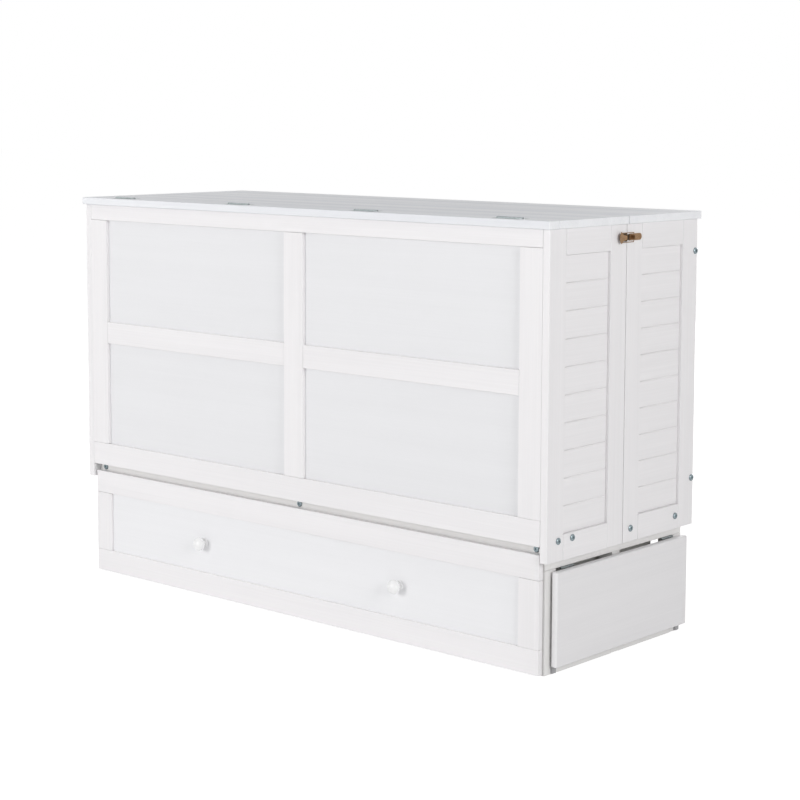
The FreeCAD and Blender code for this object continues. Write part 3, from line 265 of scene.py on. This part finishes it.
def pine(name, colour, ring, roughness):
    """Planed pine: growth rings drawn out along the board, broad darker bands and fine pores."""
    material, tree, surface = new_material(name)
    wave = add_node(
        tree, "ShaderNodeTexWave",
        {"Vector": stretched(tree, grain_place(tree), RING_GRAIN), **RING_WAVE},
        wave_type="RINGS", rings_direction="X", wave_profile="SAW",
    ).outputs["Fac"]
    pores = grain_noise(tree, PORE_GRAIN)
    bands = grain_noise(tree, PINE_BAND_GRAIN, BROAD_DETAIL)
    ringed = mixed(tree, ranged(tree, wave, 0.0, RING_SHARE, RING_SPAN), colour, ring)
    deep = [channel * PINE_BAND_TONE for channel in colour]
    banded = mixed(tree, ranged(tree, bands, 0.0, PINE_BAND_SHARE), ringed, deep)
    dark = [channel * PORE_TONE for channel in ring]
    pored = mixed(tree, ranged(tree, pores, 0.0, PORE_SHARE, PORE_SPAN), banded, dark)
    gloss = ranged(tree, pores, roughness - PINE_SMOOTHER, roughness + PINE_ROUGHER)
    dress_surface(tree, surface, pored, gloss, pores, PINE_RELIEF)
    return material


# Plated metal
CLOUD_DETAIL = 5.0
CLOUD_ROUGHNESS = 0.65
SCRATCHES_PER_METRE = (60, 2500, 2500)
SCRATCH_DETAIL = 3.0
METAL_SMOOTHER = 0.08
METAL_ROUGHER = 0.12
METAL_RELIEF = (0.08, 0.1 * MM)


def metal(name, colour, dark, roughness, clouds_per_metre):
    """Plated metal: clouded tone, fine scratches and uneven gloss."""
    material, tree, surface = new_material(name)
    place = object_place(tree)
    clouds = noise(tree, place, clouds_per_metre, CLOUD_DETAIL, CLOUD_ROUGHNESS)
    scratches = noise(tree, stretched(tree, place, SCRATCHES_PER_METRE), 1.0, SCRATCH_DETAIL)
    tone = mixed(tree, ranged(tree, clouds, 0.0, 1.0), dark, colour)
    gloss = ranged(tree, clouds, roughness + METAL_ROUGHER, roughness - METAL_SMOOTHER)
    surface.inputs["Metallic"].default_value = 1.0
    dress_surface(tree, surface, tone, gloss, scratches, METAL_RELIEF)
    return material


# Moulded plastic, and the coat of small painted pieces
PEBBLES_PER_METRE = 1400.0
PEBBLE_DETAIL = 2.0
PEBBLE_UNEVENNESS = 0.05
PEBBLE_RELIEF = (0.1, 0.1 * MM)


def plastic(name, colour, dark, roughness):
    """A smooth coat or plastic with a fine even texture."""
    material, tree, surface = new_material(name)
    pebbles = noise(tree, object_place(tree), PEBBLES_PER_METRE, PEBBLE_DETAIL)
    tone = mixed(tree, ranged(tree, pebbles, 0.0, 1.0), dark, colour)
    gloss = ranged(tree, pebbles, roughness - PEBBLE_UNEVENNESS, roughness + PEBBLE_UNEVENNESS)
    dress_surface(tree, surface, tone, gloss, pebbles, PEBBLE_RELIEF)
    return material


PAINTS = {
    # look: colour, darker shade, roughness, and for the top its specular level and its streaks
    "frame_paint": ((0.86, 0.845, 0.855), (0.825, 0.81, 0.82), 0.42),
    "panel_paint": ((0.80, 0.80, 0.815), (0.785, 0.785, 0.80), 0.40),
    "drawer_front": ((0.845, 0.845, 0.86), (0.83, 0.83, 0.845), 0.40),
    # the top's colours, most of all its streak colour, lean cool blue: painted reflection of cool
    # surroundings seen at a grazing angle; the streaks' darker tone is that of the glued staves
    "top_paint": ((0.90, 0.906, 0.925), (0.84, 0.848, 0.87), 0.55, 0.2, (0.77, 0.783, 0.82)),
    "base_paint": ((0.84, 0.83, 0.82), (0.79, 0.78, 0.77), 0.45),
    # the shelf's colour is darker than the frame paint: painted shade, for the dimmer light on the
    # shelf's face
    "shelf_paint": ((0.80, 0.79, 0.80), (0.775, 0.765, 0.775), 0.42),
    "drawer_board": ((0.80, 0.79, 0.77), (0.76, 0.75, 0.73), 0.45),
}
PINES = {
    # look: colour, colour of the rings, roughness
    "slat_pine": ((0.78, 0.60, 0.39), (0.62, 0.41, 0.22), 0.5),
    "inner_pine": ((0.80, 0.65, 0.45), (0.66, 0.46, 0.27), 0.52),
}
METALS = {
    # look: colour, darker tone, roughness, clouds per metre
    # The zinc colours are darker than bright zinc: painted shade, for the darker surroundings that zinc
    # reflects and, on the hinge leaves, the shadow they sit in
    "zinc_bolt": ((0.32, 0.38, 0.40), (0.16, 0.20, 0.22), 0.34, 300.0),
    "zinc_plate": ((0.35, 0.385, 0.39), (0.23, 0.258, 0.263), 0.38, 120.0),
    "antique_brass": ((0.36, 0.225, 0.125), (0.22, 0.135, 0.075), 0.42, 260.0),
    # near-black brass: painted shadow on the keeper toes, in the gap behind each bail; the latch bases
    # take it as well
    "dark_brass": ((0.10, 0.066, 0.04), (0.05, 0.034, 0.022), 0.45, 260.0),
}
PLASTICS = {
    # look: colour, darker tone, roughness
    "catch_plastic": ((0.42, 0.42, 0.43), (0.34, 0.34, 0.35), 0.5),
    "plate_enamel": ((0.80, 0.80, 0.80), (0.77, 0.77, 0.77), 0.35),
    "knob_paint": ((0.87, 0.87, 0.87), (0.85, 0.85, 0.85), 0.25),
}


def looks(make, finishes):
    """The materials of one kind, by look."""
    return {look: make(f"{look}_look", *finish) for look, finish in finishes.items()}


WOODS = {**looks(paint, PAINTS), **looks(pine, PINES)}
FITTINGS = {**looks(metal, METALS), **looks(plastic, PLASTICS)}

# Rounded edges of the boards. Sharp edges up to SHORT_EDGE stay as they are
EDGE_EASE = {
    "frame_paint": 1.5 * MM,
    "panel_paint": 0.4 * MM,
    "base_paint": 1.2 * MM,
    "slat_pine": 0.5 * MM,
    "inner_pine": 1.0 * MM,
    "drawer_board": 0.4 * MM,
}
EDGE_STEPS = 3
EDGE_ANGLE = math.radians(30)
SHORT_EDGE = 6 * MM
FLAT_ANGLE = math.radians(0.5)
# Taken off each end of the framed boards, so that their joints show
JOINT_TRIM = {"frame_paint": 0.45 * MM, "base_paint": 0.45 * MM}
# Each board's grain is shifted by up to this many metres
GRAIN_SHIFT = 50
BOARD_SEED = 7
POINT_DIGITS = 5


def solids_of(mesh):
    """The faces of each solid of a sub-part, as rings of points.

    A solid's faces follow one another in the mesh, and it is whole when no edge is left open.
    """
    points = [tuple(round(c, POINT_DIGITS) for c in vertex.co) for vertex in mesh.vertices]
    solids, faces, open_edges = [], [], set()
    for polygon in mesh.polygons:
        ring = [points[i] for i in polygon.vertices]
        faces.append(ring)
        for edge in zip(ring, ring[1:] + ring[:1]):
            if edge[::-1] in open_edges:
                open_edges.remove(edge[::-1])
            else:
                open_edges.add(edge)
        if not open_edges:
            solids.append(faces)
            faces = []
    return solids + [faces] if faces else solids


def add_board(bm, faces, layers, shift, trim):
    """One solid with its place along, across and through the grain, and with its ends marked."""
    grain, end_grain = layers
    points = sorted({point for ring in faces for point in ring})
    spans = [max(column) - min(column) for column in zip(*points)]
    order = sorted(range(3), key=lambda axis: -spans[axis])
    middle = [(max(column) + min(column)) / 2 for column in zip(*points)]
    fit = [1 - 2 * trim / spans[axis] if axis == order[0] else 1 for axis in range(3)]
    verts = {}
    for point in points:
        verts[point] = bm.verts.new(m + (p - m) * f for p, m, f in zip(point, middle, fit))
        verts[point][grain] = Vector(point[axis] for axis in order) + shift
    for ring in faces:
        # A face whose corners fall together is left out
        if len(set(ring)) == len(ring):
            face = bm.faces.new([verts[point] for point in ring])
            face.smooth = True
            along = [point[order[0]] for point in ring]
            face[end_grain] = float(max(along) - min(along) < spans[order[2]])


def mark_edges(bm):
    """Long edges are to be eased, and the rims of bolt holes stay sharp."""
    weight = bm.edges.layers.float.new("bevel_weight_edge")
    bm.normal_update()
    for edge in bm.edges:
        if edge.calc_face_angle(0) < EDGE_ANGLE:
            continue
        if edge.calc_length() > SHORT_EDGE:
            edge[weight] = 1.0
        else:
            edge.smooth = False


def board_mesh(name, draws):
    """The boards of a wooden sub-part, each with a grain of its own."""
    mesh = bpy.data.meshes.new(f"{name}_boards")
    bm = bmesh.new()
    layers = bm.verts.layers.float_vector.new("grain"), bm.faces.layers.float.new("end_grain")
    for faces in solids_of(NODES[name].data):
        shift = Vector(draws.uniform(-GRAIN_SHIFT, GRAIN_SHIFT) for _ in range(3))
        add_board(bm, faces, layers, shift, JOINT_TRIM.get(SLOT_OF[name], 0))
    bmesh.ops.dissolve_limit(bm, angle_limit=FLAT_ANGLE, verts=bm.verts, edges=bm.edges)
    mark_edges(bm)
    bm.to_mesh(mesh)
    bm.free()
    return mesh


def dress_boards(name, material, draws):
    """A wooden sub-part again, with grain and eased edges.

    The top and the shelves have rounded edges of their own.
    """
    slot = SLOT_OF[name]
    mesh = board_mesh(name, draws)
    mesh.materials.append(material)
    piece = new_object(f"{name}_boards", mesh)
    if slot in EDGE_EASE:
        ease = piece.modifiers.new("eased_edges", "BEVEL")
        ease.width = EDGE_EASE[slot]
        ease.segments = EDGE_STEPS
        ease.limit_method = "WEIGHT"
        ease.use_clamp_overlap = False
    flat = piece.modifiers.new("flat_faces", "WEIGHTED_NORMAL")
    flat.keep_sharp = True
    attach(piece, BODY_OF[name])
    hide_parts(name)


# Sub-parts that look unlike the rest of their slot
# The latch bases take the near-black brass that is painted shadow on the keeper toes
OTHER_LOOK = {"drawer_front_panel": "drawer_front", "latch_bases": "dark_brass"}
THIN_WIRE = ("latch_bail_right", "latch_bail_left")
WIRE_TRIM = 0.4 * MM
WELD_REACH = 0.01 * MM


def thin_wire(node):
    """A wire a little thinner than its solid, its faces joined first so that it stays closed."""
    weld = node.modifiers.new("joined_faces", "WELD")
    weld.merge_threshold = WELD_REACH
    thin = node.modifiers.new("thin_wire", "DISPLACE")
    thin.strength = -WIRE_TRIM
    thin.mid_level = 0


def dress_nodes():
    """Every sub-part gets its finish: boards as new pieces, the rest as they are."""
    draws = random.Random(BOARD_SEED)
    for name in sorted(NODES):
        look = OTHER_LOOK.get(name, SLOT_OF[name])
        if name in THIN_WIRE:
            thin_wire(NODES[name])
        if look in WOODS:
            dress_boards(name, WOODS[look], draws)
        else:
            NODES[name].data.materials.clear()
            NODES[name].data.materials.append(FITTINGS[look])


# Screw heads: heights, and shares of their radius
SCREW_RISE = 0.3 * MM
SCREW_FLOOR = 0.03 * MM
CROWN_SHARE = 0.88
CROSS_SHARE = 0.62
ARM_SHARE = 0.13
FLOOR_SHARE = 0.8
BEND_SHARE = 0.6
SCREW_SEED = 11


def cross_outline():
    """Angles round a screw head of radius one, each with the reach of its cross slot there."""
    eighth = math.pi / 4
    corner = math.atan2(ARM_SHARE, CROSS_SHARE)
    bend = corner + BEND_SHARE * (eighth - corner)
    outline = []
    for quarter in range(4):
        for turn in (-bend, -corner, corner, bend, eighth):
            reach = min(CROSS_SHARE / math.cos(turn), ARM_SHARE / math.sin(abs(turn)))
            outline.append((2 * eighth * quarter + turn, reach))
    return outline


def add_screw(bm, place, facing, radius, turn):
    """A flat screw head with a cross slot."""
    outward = Vector(facing)
    across = outward.orthogonal().normalized()
    beside = outward.cross(across)
    outline = cross_outline()
    rings = []
    for share, slotted, rise in (
        (1.0, False, 0.0),
        (CROWN_SHARE, False, SCREW_RISE),
        (1.0, True, SCREW_RISE),
        (FLOOR_SHARE, True, SCREW_FLOOR),
    ):
        ring = []
        for angle, reach in outline:
            span = radius * share * (reach if slotted else 1.0)
            way = across * math.cos(angle + turn) + beside * math.sin(angle + turn)
            ring.append(bm.verts.new(place + way * span + outward * rise))
        rings.append(ring)
    for lower, upper in zip(rings, rings[1:]):
        for i, vert in enumerate(lower):
            after = (i + 1) % len(lower)
            bm.faces.new((vert, lower[after], upper[after], upper[i]))
    bm.faces.new(rings[-1])
    bm.faces.new(rings[0][::-1])


def add_piece(name, bm, node, slot, look):
    """A small piece of metal that goes with a sub-part."""
    mesh = bpy.data.meshes.new(name)
    bm.to_mesh(mesh)
    bm.free()
    mesh.materials.append(FITTINGS[look])
    piece = new_object(name, mesh)
    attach(piece, BODY_OF[node])


# Places on the solids of the sub-parts, in mm. A solid thinner than PIN_LIMIT both ways is a pin
LOW, MIDDLE, HIGH = 0.0, 0.5, 1.0
PIN_LIMIT = 4


def boxes_of(name):
    """The lowest and highest corner of each solid of a sub-part, in order and without its pins."""
    boxes = []
    for faces in solids_of(NODES[name].data):
        columns = list(zip(*{point for ring in faces for point in ring}))
        low = [min(column) / MM for column in columns]
        high = [max(column) / MM for column in columns]
        if sorted(end - start for start, end in zip(low, high))[1] > PIN_LIMIT:
            boxes.append((low, high))
    return sorted(boxes)


def at(share, *steps):
    """Places along one axis: steps from a share of a solid's span."""
    return [(share, step) for step in steps]


def spots(name, rules, side=0):
    """Places on each solid of a sub-part, from those along each axis.

    With a side, right 1 or left -1, only its solids count, and x runs outwards from the bed's middle.
    """
    for low, high in boxes_of(name):
        spans = list(zip(low, high))
        if side * sum(spans[0]) < 0:
            continue
        if side < 0:
            spans[0] = -high[0], -low[0]
        columns = [
            [start + share * (end - start) + step for share, step in rule]
            for (start, end), rule in zip(spans, rules)
        ]
        for x, y, z in itertools.product(*columns):
            yield (x * side if side else x), y, z


# Screws of the hinges, in mm. The face of a leaf lies LEAF_DEPTH short of its pin's axis
LEAF_DEPTH = 0.5
HINGE_SCREW_RADIUS = 3.2
HINGE_PITCH = 26
NOSING_LEAF_INSET = 10.95
FLAP_LEAF_INSET = 11.05
TRAY_LEAF_INSET = 9.3
FOOT_LEAF_INSET = 12.3
SHELF_SCREW_RADIUS = 2.6
SHELF_PITCH = 14
SHELF_LEAF_INSET = 9
SHELF_LEAF_THICKNESS = 1.2

# Screws of the latches, in mm
LATCH_PLATE_THICKNESS = 1.5
KEEPER_SCREW_RADIUS = 3.2
KEEPER_SCREW_STEPS = (23, 41)
LATCH_SCREW_RADIUS = 2.0
LATCH_SCREW_INSET = 3
LATCH_SCREW_PITCH = 6

# Screws of the slats, in mm
SLAT_SCREW_RADIUS = 3.0
SLAT_SCREW_INSET = 14
SLAT_SCREW_SHARES = (0.25, 0.75)

BACK, FRONT, UP, DOWN = (0, 1, 0), (0, -1, 0), (0, 0, 1), (0, 0, -1)
LEFT, RIGHT = (-1, 0, 0), (1, 0, 0)


def hinge_screws():
    """Three screws along each leaf of the top's hinges and of the foot section's hinges."""
    row = at(MIDDLE, -HINGE_PITCH, 0, HINGE_PITCH)
    minus, plus = at(MIDDLE, -LEAF_DEPTH), at(MIDDLE, LEAF_DEPTH)
    for name, node, facing, y, z in (
        ("nosing_hinge_screws", "top_hinge_fixed_leaves", UP, at(LOW, NOSING_LEAF_INSET), minus),
        ("flap_hinge_screws", "top_hinge_moving_leaves", UP, at(HIGH, -FLAP_LEAF_INSET), minus),
        ("tray_hinge_screws", "fold_hinge_fixed_leaves", BACK, minus, at(LOW, TRAY_LEAF_INSET)),
        ("foot_hinge_screws", "fold_hinge_moving_leaves", FRONT, plus, at(LOW, FOOT_LEAF_INSET)),
    ):
        yield name, node, facing, HINGE_SCREW_RADIUS, spots(node, (row, y, z))


def shelf_screws():
    """Two screws in each leaf of the shelves' hinges."""
    pair = at(MIDDLE, -SHELF_PITCH, SHELF_PITCH)
    flap = at(HIGH, -SHELF_LEAF_THICKNESS), pair, at(LOW, SHELF_LEAF_INSET)
    for side, facing, name in ((1, LEFT, "right"), (-1, RIGHT, "left")):
        node = f"shelf_hinge_leaves_{name}"
        yield f"shelf_screws_{name}", node, facing, SHELF_SCREW_RADIUS, spots(node, flap, side)
    node = "shelf_hinge_fixed_leaves"
    rail = at(LOW, SHELF_LEAF_INSET), pair, at(MIDDLE, LEAF_DEPTH)
    places = [*spots(node, rail, -1), *spots(node, rail, 1)]
    yield "shelf_rail_screws", node, DOWN, SHELF_SCREW_RADIUS, places


def latch_screws():
    """Two screws in each keeper and in each base plate of the latches."""
    plate = at(LOW, LATCH_PLATE_THICKNESS)
    keeper = plate, at(LOW, *KEEPER_SCREW_STEPS), at(MIDDLE, 0)
    base = plate, at(HIGH, -LATCH_SCREW_INSET), at(MIDDLE, -LATCH_SCREW_PITCH, LATCH_SCREW_PITCH)
    for side, facing, name in ((1, RIGHT, "right"), (-1, LEFT, "left")):
        places = spots("latch_keepers", keeper, side)
        yield f"keeper_screws_{name}", "latch_keepers", facing, KEEPER_SCREW_RADIUS, places
        places = spots("latch_bases", base, side)
        yield f"latch_screws_{name}", "latch_bases", facing, LATCH_SCREW_RADIUS, places


def slat_screws():
    """Two screws at each end of every slat, on its upper face in use."""
    ends = at(LOW, SLAT_SCREW_INSET) + at(HIGH, -SLAT_SCREW_INSET)
    pair = [(share, 0) for share in SLAT_SCREW_SHARES]
    for name, facing, y, z in (
        ("base", UP, pair, at(HIGH, 0)),
        ("tray", BACK, at(HIGH, 0), pair),
        ("foot", FRONT, at(LOW, 0), pair),
    ):
        node = f"{name}_slats"
        yield f"{name}_slat_screws", node, facing, SLAT_SCREW_RADIUS, spots(node, (ends, y, z))


def add_screws():
    """Screw heads on the hinges, the latches and the ends of the slats."""
    draws = random.Random(SCREW_SEED)
    kinds = hinge_screws(), shelf_screws(), latch_screws(), slat_screws()
    for name, node, facing, radius, places in itertools.chain(*kinds):
        bm = bmesh.new()
        for place in places:
            add_screw(bm, Vector(place) * MM, facing, radius * MM, draws.uniform(0, math.pi / 2))
        slot = SLOT_OF[node] if SLOT_OF[node] in FITTINGS else "zinc_plate"
        add_piece(name, bm, node, slot, slot)


# Toes of the latch keepers, in mm. They are near-black plates: a painted shadow in the gap behind each
# bail
TOE_THICKNESS = 1.2
TOE_REACH = 6.8
TOE_LAP = 0.4
TOE_INSET = 1
TOE_EASE = 0.3
TOE_STEPS = 2
ROUND_PROFILE = 0.5


def add_painted_shadow_toes():
    """A thin near-black toe that carries each latch keeper to the split: a painted shadow in the gap
    behind its bail.
    """
    height = at(LOW, TOE_INSET) + at(HIGH, -TOE_INSET)
    toe = at(LOW, 0, TOE_THICKNESS), at(LOW, -TOE_REACH, TOE_LAP), height
    for side, name in ((1, "right"), (-1, "left")):
        columns = list(zip(*spots("latch_keepers", toe, side)))
        bm = bmesh.new()
        bmesh.ops.create_cube(bm, size=1.0)
        for vert in bm.verts:
            corner = Vector((max if way > 0 else min)(column) for column, way in zip(columns, vert.co))
            vert.co = corner * MM
        bmesh.ops.bevel(
            bm, geom=bm.edges[:], offset=TOE_EASE * MM, segments=TOE_STEPS, profile=ROUND_PROFILE,
            affect="EDGES",
        )
        # near-black brass, as painted shadow behind the bail
        add_piece(f"keeper_shadow_toe_{name}", bm, "latch_keepers", "antique_brass", "dark_brass")


# Studio
AMBIENT = 0.35
FLOOR_GLOW = 0.86
FLOOR_SHADOW = 0.40
FLOOR_COLOUR = 0.95
FLOOR_HALF = 40
LAMPS = {
    # name: place, aimed at, size, power
    "key": ((-1.9, -6.4, 1.9), (0, 0, 0.5), 3.0, 176),
    "fill": ((6.1, -1.8, 2.5), (0, 0, 0.5), 2.2, 144),
    "back": ((-1.6, 6.5, 1.8), (0, 0, 0.5), 2.2, 150),
    "overhead": ((-2.6, -1.0, 3.0), (-0.6, 0, 0.8), 2.0, 17),
}


def white_rays(tree):
    """One where a ray comes from the camera or from a mirror or glass."""
    path = add_node(tree, "ShaderNodeLightPath").outputs
    seen = combined(tree, "MAXIMUM", path["Is Camera Ray"], path["Is Glossy Ray"])
    return combined(tree, "MAXIMUM", seen, path["Is Transmission Ray"])


def set_world():
    """Soft even light, and a white background."""
    world = bpy.data.worlds.new("studio")
    world.use_nodes = True
    tree = world.node_tree
    sky = tree.nodes["Background"]
    sky.inputs["Color"].default_value = (1, 1, 1, 1)
    strength = ranged(tree, white_rays(tree), AMBIENT, 1.0, (0.0, 1.0))
    tree.links.new(strength, sky.inputs["Strength"])
    bpy.context.scene.world = world


def matt(tree, tone):
    """A matt grey."""
    return add_node(tree, "ShaderNodeBsdfDiffuse", {"Color": (tone, tone, tone, 1)}).outputs["BSDF"]


def set_floor():
    """A pale floor that is white to the eye and keeps a faint shadow."""
    material, tree, surface = new_material("floor_look")
    tree.nodes.remove(surface)
    glow = add_node(tree, "ShaderNodeEmission", {"Strength": FLOOR_GLOW}).outputs["Emission"]
    seen = add_node(tree, "ShaderNodeAddShader", {0: glow, 1: matt(tree, FLOOR_SHADOW)})
    choice = add_node(
        tree, "ShaderNodeMixShader",
        {0: white_rays(tree), 1: matt(tree, FLOOR_COLOUR), 2: seen.outputs["Shader"]},
    )
    tree.links.new(choice.outputs["Shader"], tree.nodes["Material Output"].inputs["Surface"])
    mesh = bpy.data.meshes.new("floor")
    corners = [(x * FLOOR_HALF, y * FLOOR_HALF, 0) for x, y in ((-1, -1), (1, -1), (1, 1), (-1, 1))]
    mesh.from_pydata(corners, [], [(0, 1, 2, 3)])
    mesh.materials.append(material)
    floor = new_object("floor", mesh)
    floor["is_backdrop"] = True


def set_lamps():
    """Large soft lamps: a key in front, a fill on the right, one behind and one overhead."""
    for name, (place, target, size, power) in LAMPS.items():
        data = bpy.data.lights.new(name, "AREA")
        data.shape = "SQUARE"
        data.size = size
        data.energy = power
        lamp = new_object(name, data)
        lamp.location = place
        lamp.rotation_mode = "QUATERNION"
        lamp.rotation_quaternion = (Vector(target) - Vector(place)).to_track_quat("-Z", "Y")


bpy.context.scene.view_settings.view_transform = "Standard"
set_camera()
dress_nodes()
add_screws()
add_painted_shadow_toes()
set_world()
set_floor()
set_lamps()

boxes = {"cad": CAD_BOX, "visual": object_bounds()}
{key: [list(corner) for corner in box] for key, box in boxes.items()}
